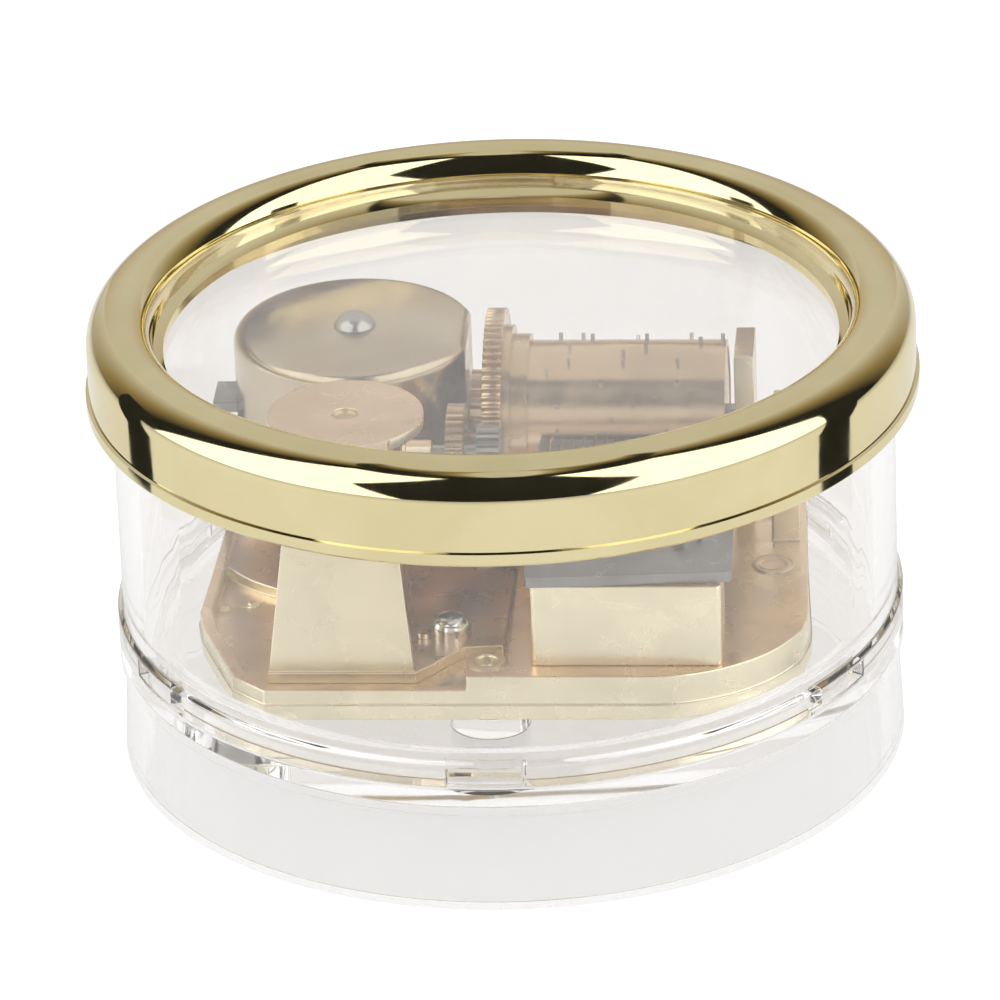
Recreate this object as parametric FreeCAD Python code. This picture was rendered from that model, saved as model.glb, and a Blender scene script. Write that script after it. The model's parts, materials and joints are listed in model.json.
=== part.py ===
"""Cylinder music box: a wind-up comb movement in a clear round case with a gilt ring.

Millimetres. +Z is up and Z = 0 is the surface that the case stands on. The case's axis is
the Z axis. X runs along the pinned cylinder and -Y is the front, where the comb is screwed.
"""
import FreeCAD, Part
import math
import os

os.makedirs("parts", exist_ok=True)
V = FreeCAD.Vector
FAR = 40.0                # longer than anything in the case, for cutters
NEAR_MISS = 0.02          # clearance of pressed and seated pieces
RUN = 0.03                # radial clearance of every pivot

# ---- case: clear base ---------------------------------------------------------------
SKIRT_R = 33.4            # foot of the slightly tapered skirt
SKIRT_INNER_R = 31.2
SKIRT_ROOT_R = 30.6       # inside of the skirt below the floor
BODY_R = 33.0             # clear wall, outside
BODY_INNER_R = 31.0
BAND_R = 33.45            # moulded band either side of the joint line
BAND_STEP = 0.2
FLOOR_UNDER = 8.7         # underside of the base's floor
FLOOR_TOP = 10.4
JOINT_Z = 11.35           # base meets cup
JOINT_GAP = 0.1
UPSTAND_R = 30.94         # thin wall of the base that stands inside the cup
UPSTAND_INNER_R = 29.7
UPSTAND_TOP = 13.7
BOSS_R = 3.3
KEY_HOLE_R = 2.4
LUG_COUNT = 6
LUG_WIDTH = 6.4
LUG_TALL = 1.35
LUG_Z = 11.75
LUG_REACH = BODY_R - 0.6
LUG_PLAY = 0.15           # sideways gap of a lug in its slot
LUG_RISE_PLAY = 0.1

# ---- case: clear cup ----------------------------------------------------------------
BAND_TOP = 13.4
WINDOW_UNDER = 34.2
WINDOW_FILLET = 0.6
CUP_TOP = 36.0
CUP_EDGE = 0.7

# ---- case: gilt ring ----------------------------------------------------------------
RING_LIP_R = 35.1
RING_LIP_Z = 32.35
RING_LIP_CHAMFER = 0.25
RING_STEP_Z = 33.5
RING_WALL_R = 34.85
RING_SHOULDER_Z = 37.6
RING_CREST_R = 31.5
RING_CREST_Z = 40.6
RING_EYE_R = 28.4         # opening that frames the window
RING_EDGE_R = 29.3        # foot of the inner slope
RING_EDGE_Z = 37.8
RING_LEDGE_R = 28.75      # narrow ledge half-way down the opening
RING_LEDGE_Z = 37.0
RING_FIT = 0.08           # gap between the ring and the cup
RING_HOLLOW_R = (30.3, 32.6)
RING_HOLLOW_Z = 38.6

# ---- case: screws from below --------------------------------------------------------
CASE_SCREWS = [(-21.5, 12.6), (20.6, 13.4)]
CASE_SCREW_R = 1.1
CASE_SCREW_HEAD_R = 2.1
CASE_SCREW_HEAD_TALL = 0.95
CASE_SCREW_TOP = 13.3
HEAD_RECESS_R = 2.3
HEAD_RECESS_DEEP = 1.0
CROSS_ARM = 1.3
CROSS_HALF = 0.25
CROSS_DEEP = 0.45
FRONT_BOSS = (-0.4, -18.9)    # plain boss without a screw, below the front tab

# ---- bedplate -----------------------------------------------------------------------
PLATE_UNDER = 12.2        # the plate stands on bosses of the clear base
PLATE_FLOOR = 13.6
DRUM_SEAT = 14.5          # round raised floor below the drum
DRUM_SEAT_R = 14.0
DRUM_SEAT_RIGHT = -3.2
LEFT_RIM = 14.9
DECK = 16.2               # raised right-hand deck that carries the comb and the bracket
RIM = 1.1
RIM_DRAFT = 0.12
PLATE_FRONT = -22.2
PLATE_REAR = 20.2
PLATE_LEFT = -25.7
PLATE_RIGHT = 25.6
PLATE_CORNER_R = 13.1
DECK_LEFT = 0.9
TAB_X = (-2.1, 1.5)       # front tab of the deck
TAB_REAR = -18.6
TAB_HOLE = (-0.6, -19.5)
TAB_RING_R = 1.65
TAB_HOLE_R = 0.95
PILLAR_X = (22.4, 24.6)
PILLAR_Y = (3.1, 9.0)
PILLAR_TOP = 26.2
FLOOR_RING = (22.4, -1.5)
FLOOR_RING_R = (1.15, 1.65)
FLOOR_RING_TALL = 0.15
STUDS = ((-24.0, -4.6), (-21.7, -4.0))
STUD_R = 0.45
STUD_TALL = 0.4
GEAR_POCKET_R = 9.6       # hollow in the plate for the cylinder's gear
PIN_POCKET_GAP = 0.45

# ---- axes of the train --------------------------------------------------------------
DRUM_X, DRUM_Y = -13.3, 10.0
CYL_Y, CYL_Z = DRUM_Y, 23.3
WORM_X, WORM_Y = -12.6, -8.4

PITCH_ANGLE = math.radians(20)
ROOT_DEPTH = 1.25         # in modules, below the pitch circle
GEAR_MODULE = 0.25
CYL_TEETH = 72
PINION1_TEETH = 16
WHEEL1_TEETH = 31
PINION2_TEETH = 10
MESH1 = GEAR_MODULE * (CYL_TEETH + PINION1_TEETH) / 2
MESH2 = GEAR_MODULE * (WHEEL1_TEETH + PINION2_TEETH) / 2
SHAFT1_Y = -0.85
SHAFT1_Z = CYL_Z + math.sqrt(MESH1 ** 2 - (CYL_Y - SHAFT1_Y) ** 2)
SHAFT2_Y = -4.4
SHAFT2_Z = SHAFT1_Z - math.sqrt(MESH2 ** 2 - (SHAFT1_Y - SHAFT2_Y) ** 2)
WORM_WHEEL_TEETH = 24
WORM_MODULE = 0.225
WORM_WHEEL_R = WORM_MODULE * WORM_WHEEL_TEETH / 2
WORM_R = SHAFT2_Y - WORM_Y - WORM_WHEEL_R
WORM_PITCH = math.pi * WORM_MODULE

# ---- drum ---------------------------------------------------------------------------
DRUM_R = 10.4
DRUM_FLAT = 9.65          # flat beside the cylinder's gear
DRUM_UNDER = 21.0
DRUM_TOP = 31.9
DRUM_SHELL = 0.9
DRUM_HOLLOW_R = 8.45
DRUM_EDGE = 1.1
EAR_R = 1.25
EAR_TALL = 1.0
EAR_WEB = (3.0, 1.1)      # length and half width
POST_REACH = 11.9
POST_ANGLES = (45.0, 135.0)
POST_R = 0.8
SIDE_BRACKET_TOP = 25.6   # steel bracket beside the drum
SIDE_BRACKET_HALF = 2.2
SIDE_BRACKET_OUT = (1.0, 1.9)
SIDE_BRACKET_THICK = 0.9
SPRING_TURNS = 7
SPRING_STRIP = 0.22
SPRING_R = (2.0, 8.1)
SPRING_GAP = 0.3

# ---- arbor, key and crown gear ------------------------------------------------------
ARBOR_R = 1.5
ARBOR_LOW = 6.4
ARBOR_DOME_R = 2.0
ARBOR_HEAD_R = 1.78
KEY_HUB_R = 2.2
KEY_HUB_Z = (2.0, 7.9)
WING_R = 3.4
WING_THICK = 1.3
WING_REACH = 4.6
WING_Z = 4.6
WING_WINDOW_R = 1.6
WING_WINDOW_REACH = 4.9
CROWN_TEETH = 52
CROWN_PINION_TEETH = 18
CROWN_PINION_X = (-3.5, -2.35)
CROWN_MODULE = 0.4
CROWN_OUTER_R = 10.95
CROWN_INNER_R = 9.85
CROWN_WEB = 1.0
CROWN_DROP = 1.6          # web's underside below the roots of the teeth
CROWN_HALF_TOOTH = 0.22
CROWN_TOOTH_INSET = 0.06
CROWN_HUB_R = 3.2
CROWN_LIFT = 0.3          # hub's gap over the seat
CROWN_HOLE_R = 1.9
CROWN_HOLE_REACH = 6.4
CROWN_HOLES = 5

# ---- cylinder -----------------------------------------------------------------------
TUBE_R = 6.5
TUBE_WALL = 0.55
TUBE_LEFT, TUBE_RIGHT = 1.6, 18.4
PIN_R = 0.17
PIN_TIP_R = 7.1
PIN_SINK = 0.002
BEATS = 40                # rows of pins round the tube
GEAR_LEFT, GEAR_RIGHT = -2.1, -0.5
FLANGE_R = (7.8, 7.05)
FLANGE_STEP_X = 0.15
CAP_THICK = 1.0
CYL_ARBOR_R = 1.0
PIVOT_R = 0.5
END_SHAKE = 0.15
BRACKET_LEFT, BRACKET_RIGHT = 19.15, 20.8
BRACKET_Y = (7.0, 13.0)
BRACKET_TOP = 30.2
BRACKET_FOOT_RIGHT = 23.4
BRACKET_FOOT_FRONT = 9.2
BRACKET_FOOT_THICK = 1.1
BRACKET_SCREW = (22.1, 11.2)

# ---- comb ---------------------------------------------------------------------------
NOTES = 18
PINNED_NOTES = NOTES - 1  # the last tooth lies past the end of the tube
COMB_LEFT, COMB_RIGHT = 2.75, 19.45
COMB_PITCH = (COMB_RIGHT - COMB_LEFT) / NOTES
COMB_UNDER = 23.55
COMB_THICK = 0.95
COMB_TOP = COMB_UNDER + COMB_THICK
COMB_THINNING = 0.4       # ground off below the teeth
COMB_FRONT = (-20.5, -19.4)   # front edge at the bass and the treble end
COMB_ROOT = -9.0
COMB_TIP = CYL_Y - PIN_TIP_R - 0.12
COMB_SLOT = 0.16
COMB_CORNER = 0.6
COMB_SCREWS = [(7.0, -13.2), (15.2, -13.2)]
COMB_BLOCK_X = (3.2, 18.6)
COMB_BLOCK_Y = (-20.2, -9.8)
COMB_BLOCK_EDGE = 0.45

# ---- governor -----------------------------------------------------------------------
DISC_R = 6.55
DISC_TOP = 32.3
DISC_THICK = 1.0
DISC_UNDER = DISC_TOP - DISC_THICK
DISC_HOLE_R = 1.1
LEG_FOOT_Y = -18.3
LEG_FOOT_X = (-18.7, -6.6)
LEG_TOP_X = (-16.6, -8.6)
LEG_THICK = 1.0
LEG_LAP = (0.35, 0.15)    # how far the leg's top reaches in and stays below the disc's top
FOOT_TOP = 14.6
FOOT_REAR = -7.1
FOOT_RIGHT = 0.3
TONGUE_REAR = 0.9         # right-hand part of the foot runs further back
TONGUE_GAP = 0.05
CHEEKS = (-17.3, -9.3)    # left faces of the two bearing cheeks
CHEEK_THICK = 1.0
CHEEK_Y = (-8.4, -1.3)
CHEEK_TOP = 27.2
CHEEK_NECK_Y = (-4.5, -3.2)
CHEEK_EAR_Y = (-1.4, 0.05)
CHEEK_EAR_Z = 22.8
SLEEVE_R = 1.05
SLEEVE_RIGHT = -6.1
SHAFT_R = 0.6
WORM_PIVOT_R = 0.3
FRAME_SCREW = (-4.1, -11.4)
FRAME_SCREW_HEAD = (1.65, 1.85)   # radius and height
FRAME_PIN = (-6.45, -11.75)
FRAME_PIN_R = 0.5
WORM_TURNS = 6
WORM_SPINDLE_R = 0.5
WORM_THREAD = (0.17, 0.07)    # half width of the thread at its root and tip
FAN_R = 4.6
FAN_HALF = 0.18
FAN_HUB_R = 1.0
FAN_Z = (27.6, 30.6)
FAN_INSET = 0.15


# ---- helpers ------------------------------------------------------------------------
def cylinder(radius, height, x, y, z, axis=V(0, 0, 1)):
    return Part.makeCylinder(radius, height, V(x, y, z), axis)


def rod_x(radius, left, right, y, z):
    """A round bar along X."""
    return Part.makeCylinder(radius, right - left, V(left, y, z), V(1, 0, 0))


def box(x0, x1, y0, y1, z0, z1):
    return Part.makeBox(x1 - x0, y1 - y0, z1 - z0, V(x0, y0, z0))


def fuse(*shapes):
    solid = shapes[0].multiFuse(list(shapes[1:]))
    return solid.removeSplitter()


def prism(points, z0, z1):
    """Upright prism on an outline of (x, y) points."""
    ring = [V(x, y, z0) for x, y in points]
    face = Part.Face(Part.makePolygon(ring + ring[:1]))
    return face.extrude(V(0, 0, z1 - z0))


def revolve(edges):
    """Solid of revolution about Z from a closed list of edges in the XZ plane."""
    return Part.Face(Part.Wire(edges)).revolve(V(0, 0, 0), V(0, 0, 1), 360)


def revolve_outline(points):
    """Solid of revolution about Z from an outline of (radius, z) points."""
    ring = [V(r, 0, z) for r, z in points]
    return Part.Face(Part.makePolygon(ring + ring[:1])).revolve(V(0, 0, 0), V(0, 0, 1), 360)


def spin_copies(shape, count, start=0.0):
    copies = []
    for step in range(count):
        turned = shape.copy()
        turned.rotate(V(0, 0, 0), V(0, 0, 1), start + 360.0 * step / count)
        copies.append(turned)
    return copies


def group(solids):
    return Part.makeCompound(solids)


def save(name, shape):
    shape.exportStep("parts/" + name + ".step")


def involute(angle):
    return math.tan(angle) - angle


def spur_gear(teeth, module, left, right, y, z, phase, thin=0.86, addendum=0.9):
    """Involute gear about an axis along X. A tooth stands at the angle phase from +Y to +Z."""
    pitch_r = module * teeth / 2
    base_r = pitch_r * math.cos(PITCH_ANGLE)
    root_r = pitch_r - ROOT_DEPTH * module
    tip_r = pitch_r + addendum * module
    start_r = max(base_r, root_r)
    steps = 3
    radii = [start_r + (tip_r - start_r) * k / steps for k in range(steps + 1)]
    half_pitch = math.pi / (2 * teeth) * thin

    def half_angle(radius):
        pressure = math.acos(min(1.0, base_r / radius))
        return half_pitch + involute(PITCH_ANGLE) - involute(pressure)

    flank = [(r, half_angle(r)) for r in radii]
    if root_r < base_r:
        flank.insert(0, (root_r, half_angle(base_r)))
    outline = []
    for tooth in range(teeth):
        middle = phase + 2 * math.pi * tooth / teeth
        rising = [(r, middle - half) for r, half in flank]
        falling = [(r, middle + half) for r, half in reversed(flank)]
        for radius, angle in rising + falling:
            outline.append(V(left, y + radius * math.cos(angle), z + radius * math.sin(angle)))
    face = Part.Face(Part.makePolygon(outline + outline[:1]))
    return face.extrude(V(right - left, 0, 0))


def mesh_phase(teeth, line_angle, other_teeth, other_phase):
    """Phase that puts a gap of this gear on a tooth of the other, along the centre line.

    line_angle points from the other gear's axis to this gear's axis."""
    other_offset = (line_angle - other_phase) * other_teeth / (2 * math.pi)
    fraction = other_offset - math.floor(other_offset)
    back = line_angle + math.pi
    return back + (fraction + 0.5) * 2 * math.pi / teeth


def cross(x, y, arm, half, z0, z1):
    """Cutter for a cross recess."""
    return fuse(box(x - arm, x + arm, y - half, y + half, z0, z1),
                box(x - half, x + half, y - arm, y + arm, z0, z1))


def screw_head(radius, height, x, y, z):
    """Low domed head with a cross recess, seated at height z."""
    head = cylinder(radius, height, x, y, z)
    rim = [edge for edge in head.Edges
           if len(edge.Vertexes) == 1 and abs(edge.BoundBox.ZMin - z - height) < 1e-6]
    head = head.makeFillet(height * 0.55, rim)
    return head.cut(cross(x, y, radius * 0.62, radius * 0.13, z + height / 2, z + FAR))


# ---- case ---------------------------------------------------------------------------
def clear_base():
    """Skirt, floor, bosses for the bedplate and the thin upstand with its snap lugs."""
    shoulder = JOINT_Z - JOINT_GAP
    profile = revolve_outline([
        (0, FLOOR_UNDER), (SKIRT_ROOT_R, FLOOR_UNDER), (SKIRT_INNER_R, 0), (SKIRT_R, 0),
        (BODY_R, FLOOR_UNDER - 0.3), (BODY_R - 0.15, FLOOR_UNDER - 0.1),
        (BAND_R, FLOOR_UNDER + 0.1), (BAND_R, shoulder), (UPSTAND_R, shoulder),
        (UPSTAND_R, UPSTAND_TOP), (UPSTAND_INNER_R, UPSTAND_TOP), (UPSTAND_INNER_R, FLOOR_TOP),
        (0, FLOOR_TOP)])
    bosses = [cylinder(BOSS_R, PLATE_UNDER - FLOOR_UNDER - 0.5, x, y, FLOOR_UNDER + 0.5)
              for x, y in CASE_SCREWS + [FRONT_BOSS]]
    half = LUG_WIDTH / 2 - LUG_PLAY
    lug = box(-half, half, -LUG_REACH, -UPSTAND_R + 0.6, LUG_Z + LUG_RISE_PLAY,
              LUG_Z + LUG_TALL - LUG_RISE_PLAY)
    base = fuse(profile, *bosses, *spin_copies(lug, LUG_COUNT))
    for x, y in CASE_SCREWS:
        base = base.cut(cylinder(CASE_SCREW_R + 0.1, FAR, x, y, 0))
        base = base.cut(cylinder(HEAD_RECESS_R, HEAD_RECESS_DEEP, x, y, FLOOR_UNDER - 0.001))
    return base.cut(cylinder(KEY_HOLE_R, FAR, DRUM_X, DRUM_Y, 0))


def clear_cup():
    """Clear wall and window in one moulding, with a slot for each snap lug."""
    shell = revolve_outline([
        (UPSTAND_R + 0.06, JOINT_Z), (BAND_R, JOINT_Z), (BAND_R, BAND_TOP),
        (BODY_R, BAND_TOP + 0.25), (BODY_R, CUP_TOP - CUP_EDGE), (BODY_R - CUP_EDGE, CUP_TOP),
        (0, CUP_TOP), (0, WINDOW_UNDER), (BODY_INNER_R - WINDOW_FILLET, WINDOW_UNDER),
        (BODY_INNER_R, WINDOW_UNDER - WINDOW_FILLET)])
    slot = box(-LUG_WIDTH / 2, LUG_WIDTH / 2, -FAR, -UPSTAND_R + 0.5, LUG_Z, LUG_Z + LUG_TALL)
    return shell.cut(group(spin_copies(slot, LUG_COUNT)))


def quarter_ellipse(center_r, center_z, reach_r, reach_z, steps=10):
    """Points from the side to the top of an ellipse quadrant."""
    points = []
    for step in range(steps + 1):
        angle = math.pi / 2 * step / steps
        points.append(V(center_r + reach_r * math.cos(angle), 0, center_z + reach_z * math.sin(angle)))
    return points


def gold_ring():
    """Hollow ring pressed over the top of the cup, with a rounded crest."""
    outer = quarter_ellipse(RING_CREST_R, RING_SHOULDER_Z, RING_WALL_R - RING_CREST_R,
                            RING_CREST_Z - RING_SHOULDER_Z)
    inner = quarter_ellipse(RING_CREST_R, RING_EDGE_Z, RING_EDGE_R - RING_CREST_R,
                            RING_CREST_Z - RING_EDGE_Z)
    outer_curve = Part.BSplineCurve()
    outer_curve.interpolate(outer)
    inner_curve = Part.BSplineCurve()
    inner_curve.interpolate(inner[::-1])
    inside_r = BODY_R + RING_FIT
    hollow_inner, hollow_outer = RING_HOLLOW_R
    steps = [(RING_EDGE_R, RING_EDGE_Z), (RING_EDGE_R - 0.1, RING_LEDGE_Z + 0.25),
             (RING_LEDGE_R, RING_LEDGE_Z), (RING_EYE_R, RING_LEDGE_Z - 0.25),
             (RING_EYE_R, CUP_TOP), (hollow_inner, CUP_TOP), (hollow_inner, RING_HOLLOW_Z),
             (hollow_outer, RING_HOLLOW_Z), (inside_r, RING_HOLLOW_Z - CUP_EDGE),
             (inside_r, RING_LIP_Z), (RING_LIP_R - RING_LIP_CHAMFER, RING_LIP_Z),
             (RING_LIP_R, RING_LIP_Z + RING_LIP_CHAMFER), (RING_LIP_R, RING_STEP_Z),
             (RING_WALL_R, RING_STEP_Z + 0.1), (RING_WALL_R, RING_SHOULDER_Z)]
    corners = [V(r, 0, z) for r, z in steps]
    straight = [Part.makeLine(a, b) for a, b in zip(corners, corners[1:])]
    return revolve([outer_curve.toShape(), inner_curve.toShape()] + straight)


def case_screws():
    """Screws from below, through the clear bosses into the bedplate."""
    screws = []
    for x, y in CASE_SCREWS:
        shank = cylinder(CASE_SCREW_R - NEAR_MISS, CASE_SCREW_TOP - FLOOR_UNDER, x, y, FLOOR_UNDER)
        head = cylinder(CASE_SCREW_HEAD_R, CASE_SCREW_HEAD_TALL, x, y, FLOOR_UNDER)
        recess = cross(x, y, CROSS_ARM, CROSS_HALF, 0, FLOOR_UNDER + CROSS_DEEP)
        screws.append(fuse(shank, head).cut(recess))
    return group(screws)


# ---- bedplate -----------------------------------------------------------------------
def plate_face(inset, z):
    """Outline of the bedplate, moved inwards by inset."""
    left, right = PLATE_LEFT + inset, PLATE_RIGHT - inset
    front, rear = PLATE_FRONT + inset, PLATE_REAR - inset
    corner = PLATE_CORNER_R - inset
    cx, cy = right - corner, front + corner
    slope = inset * 0.5
    turn = math.radians(-45)
    arc = Part.Arc(V(cx, front, z), V(cx + corner * math.cos(turn), cy + corner * math.sin(turn), z),
                   V(right, cy, z)).toShape()
    points = [V(right, cy, z), V(right, 14.4 - slope, z), V(21.3 - slope, rear, z),
              V(-21.4 + slope, rear, z), V(left, 14.4 - slope, z), V(left, -7.6 + slope, z),
              V(-24.8 + inset, -11.0 + slope, z), V(-21.3 + inset * 0.9, -19.6 + slope, z),
              V(-18.6 + slope, front, z), V(cx, front, z)]
    lines = [Part.makeLine(a, b) for a, b in zip(points, points[1:])]
    return Part.Face(Part.Wire([arc] + lines))


def plate_block(inset, z0, z1):
    return plate_face(inset, z0).extrude(V(0, 0, z1 - z0))


def tab_ring():
    """Low round boss with a blind hole on the deck's front tab."""
    ring = cylinder(TAB_RING_R, DECK + 0.2 - PLATE_FLOOR, *TAB_HOLE, PLATE_FLOOR)
    return ring, cylinder(TAB_HOLE_R, FAR, *TAB_HOLE, DECK - 0.8)


def bedplate():
    """One casting: slab, rim, raised deck, drum seat, pillar and small marks."""
    slab = plate_block(0.0, PLATE_UNDER, PLATE_FLOOR)
    rim = plate_block(RIM_DRAFT, PLATE_FLOOR, LEFT_RIM).cut(plate_block(RIM, PLATE_FLOOR, LEFT_RIM))
    deck_area = fuse(box(DECK_LEFT, FAR, -FAR, FAR, PLATE_FLOOR, DECK),
                     box(*TAB_X, -FAR, TAB_REAR, PLATE_FLOOR, DECK))
    deck = plate_block(RIM_DRAFT, PLATE_FLOOR, DECK).common(deck_area)
    seat = cylinder(DRUM_SEAT_R, DRUM_SEAT - PLATE_FLOOR, DRUM_X, DRUM_Y, PLATE_FLOOR)
    seat = seat.common(plate_block(RIM / 2, PLATE_FLOOR, DRUM_SEAT))
    seat = seat.cut(box(DRUM_SEAT_RIGHT, FAR, -FAR, FAR, 0, FAR))
    seat = seat.cut(box(CHEEKS[1] - TONGUE_GAP, FAR, -FAR, TONGUE_REAR + TONGUE_GAP, 0, FAR))
    pillar = box(*PILLAR_X, *PILLAR_Y, DECK - 0.5, PILLAR_TOP)
    studs = [cylinder(STUD_R, STUD_TALL + 0.1, x, y, PLATE_FLOOR - 0.1) for x, y in STUDS]
    ring, hole = tab_ring()
    plate = fuse(slab, rim, deck, seat, pillar, ring, *studs).cut(hole)
    hole_r, ring_r = FLOOR_RING_R
    mark = cylinder(ring_r, FLOOR_RING_TALL + 0.1, *FLOOR_RING, DECK - 0.1)
    plate = plate.fuse(mark.cut(cylinder(hole_r, FAR, *FLOOR_RING, 0)))
    plate = plate.cut(rod_x(GEAR_POCKET_R, GEAR_LEFT - 0.4, GEAR_RIGHT + 1.0, CYL_Y, CYL_Z))
    plate = plate.cut(rod_x(PIN_TIP_R + PIN_POCKET_GAP, 0, BRACKET_LEFT, CYL_Y, CYL_Z))
    for x, y in CASE_SCREWS:
        plate = plate.cut(cylinder(CASE_SCREW_R, 2.4, x, y, PLATE_UNDER - 1))
    return plate.cut(cylinder(ARBOR_R + RUN, FAR, DRUM_X, DRUM_Y, 0))


# ---- spring drum, key and crown gear ------------------------------------------------
def spring_housing():
    """Closed drum for the mainspring, with two ears that stand on posts."""
    flat = box(DRUM_X + DRUM_FLAT, FAR, -FAR, FAR, 0, FAR)
    outer = cylinder(DRUM_R, DRUM_TOP - DRUM_UNDER, DRUM_X, DRUM_Y, DRUM_UNDER).cut(flat)
    rim = [edge for edge in outer.Edges if edge.BoundBox.ZMin > DRUM_TOP - 0.01]
    outer = outer.makeFillet(DRUM_EDGE, rim)
    web_long, web_half = EAR_WEB
    ears = []
    for x, y in post_places():
        inward = math.degrees(math.atan2(DRUM_Y - y, DRUM_X - x))
        web = box(0, web_long, -web_half, web_half, DRUM_UNDER, DRUM_UNDER + EAR_TALL)
        web.rotate(V(0, 0, 0), V(0, 0, 1), inward)
        web.translate(V(x, y, 0))
        ears += [cylinder(EAR_R, EAR_TALL, x, y, DRUM_UNDER), web]
    hollow = cylinder(DRUM_HOLLOW_R, DRUM_TOP - DRUM_UNDER - 2 * DRUM_SHELL, DRUM_X, DRUM_Y,
                      DRUM_UNDER + DRUM_SHELL)
    drum = fuse(outer, *ears).cut(hollow)
    drum = drum.cut(cylinder(ARBOR_R + RUN, FAR, DRUM_X, DRUM_Y, 0))
    return drum.cut(rod_x(PIVOT_R + RUN, DRUM_X + DRUM_FLAT - 1.0, 0, CYL_Y, CYL_Z))


def post_places():
    angles = [math.radians(angle) for angle in POST_ANGLES]
    return [(DRUM_X + POST_REACH * math.cos(angle), DRUM_Y + POST_REACH * math.sin(angle))
            for angle in angles]


def housing_posts():
    """Turned posts between the bedplate and the drum's ears."""
    plate = bedplate()
    return group([cylinder(POST_R, DRUM_UNDER - DRUM_SEAT, x, y, DRUM_SEAT).cut(plate)
                  for x, y in post_places()])


def housing_bracket():
    """Pressed steel bracket that holds the drum to the bedplate on the left."""
    left = DRUM_X - DRUM_R
    near, out = SIDE_BRACKET_OUT
    sides = (DRUM_Y - SIDE_BRACKET_HALF, DRUM_Y + SIDE_BRACKET_HALF)
    upright = box(left - out, left - near, *sides, LEFT_RIM, SIDE_BRACKET_TOP)
    shoulder = box(left - out, DRUM_X, *sides, SIDE_BRACKET_TOP - SIDE_BRACKET_THICK,
                   SIDE_BRACKET_TOP)
    return fuse(upright, shoulder.cut(cylinder(DRUM_R, FAR, DRUM_X, DRUM_Y, 0)))


def mainspring():
    """Coiled strip between the arbor and the drum wall."""
    per_turn = 28
    first, last = SPRING_R
    steps = SPRING_TURNS * per_turn
    inner, outer = [], []
    for step in range(steps + 1):
        angle = 2 * math.pi * step / per_turn
        radius = first + (last - first) * step / steps
        for side, reach in ((inner, radius), (outer, radius + SPRING_STRIP)):
            side.append((DRUM_X + reach * math.cos(angle), DRUM_Y + reach * math.sin(angle)))
    return prism(inner + outer[::-1], DRUM_UNDER + DRUM_SHELL + SPRING_GAP,
                 DRUM_TOP - DRUM_SHELL - SPRING_GAP)


def spring_arbor():
    """Steel arbor from the key to the domed head on top of the drum."""
    bar = cylinder(ARBOR_R, DRUM_TOP + 0.1 - ARBOR_LOW, DRUM_X, DRUM_Y, ARBOR_LOW)
    dome = Part.makeSphere(ARBOR_DOME_R, V(DRUM_X, DRUM_Y, DRUM_TOP - 0.8))
    return fuse(bar, dome.common(cylinder(ARBOR_HEAD_R, FAR, DRUM_X, DRUM_Y, DRUM_TOP + 0.05)))


def winding_key():
    """Butterfly key below the floor: a hub with two flat wings."""
    low, high = KEY_HUB_Z
    back = V(0, -1, 0)
    wings = []
    for side in (-1, 1):
        wing = cylinder(WING_R, WING_THICK, DRUM_X + side * WING_REACH, DRUM_Y + WING_THICK / 2,
                        WING_Z, back)
        window = cylinder(WING_WINDOW_R, 2 * WING_THICK, DRUM_X + side * WING_WINDOW_REACH,
                          DRUM_Y + WING_THICK, WING_Z, back)
        wings.append(wing.cut(window))
    key = fuse(cylinder(KEY_HUB_R, high - low, DRUM_X, DRUM_Y, low), *wings)
    return key.cut(cylinder(ARBOR_R, FAR, DRUM_X, DRUM_Y, ARBOR_LOW))


def crown_tooth(pitch_z, root, top):
    """One upright tooth on the +X side of the crown gear, at the origin."""
    slope = math.tan(PITCH_ANGLE)
    half_top = CROWN_HALF_TOOTH - (top - pitch_z) * slope
    half_root = CROWN_HALF_TOOTH + (pitch_z - root) * slope
    sunk = root - 0.2
    inner = CROWN_INNER_R + CROWN_TOOTH_INSET
    outline = [V(inner, -half_root, sunk), V(inner, -half_root, root), V(inner, -half_top, top),
               V(inner, half_top, top), V(inner, half_root, root), V(inner, half_root, sunk)]
    face = Part.Face(Part.makePolygon(outline + outline[:1]))
    return face.extrude(V(CROWN_OUTER_R - CROWN_TOOTH_INSET - inner, 0, 0))


def drive_gear():
    """Crown gear below the drum. Its upright teeth turn the pinion on the cylinder's arbor."""
    pitch_z = CYL_Z - CROWN_MODULE * CROWN_PINION_TEETH / 2
    top = pitch_z + 0.9 * CROWN_MODULE
    root = pitch_z - ROOT_DEPTH * CROWN_MODULE
    under = root - CROWN_DROP
    web = cylinder(CROWN_OUTER_R, CROWN_WEB, DRUM_X, DRUM_Y, under)
    wall = cylinder(CROWN_OUTER_R, CROWN_DROP, DRUM_X, DRUM_Y, under)
    wall = wall.cut(cylinder(CROWN_INNER_R, FAR, DRUM_X, DRUM_Y, under + CROWN_WEB - 0.4))
    hub = cylinder(CROWN_HUB_R, root - DRUM_SEAT - CROWN_LIFT, DRUM_X, DRUM_Y, DRUM_SEAT + CROWN_LIFT)
    teeth = spin_copies(crown_tooth(pitch_z, root, top), CROWN_TEETH)
    holes = spin_copies(cylinder(CROWN_HOLE_R, FAR, CROWN_HOLE_REACH, 0, 0), CROWN_HOLES, 20.0)
    for shape in teeth + holes:
        shape.translate(V(DRUM_X, DRUM_Y, 0))
    bore = cylinder(ARBOR_R + RUN, FAR, DRUM_X, DRUM_Y, 0)
    blank = fuse(web, wall, hub).cut(group(holes + [bore]))
    return blank.multiFuse(teeth)


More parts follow.
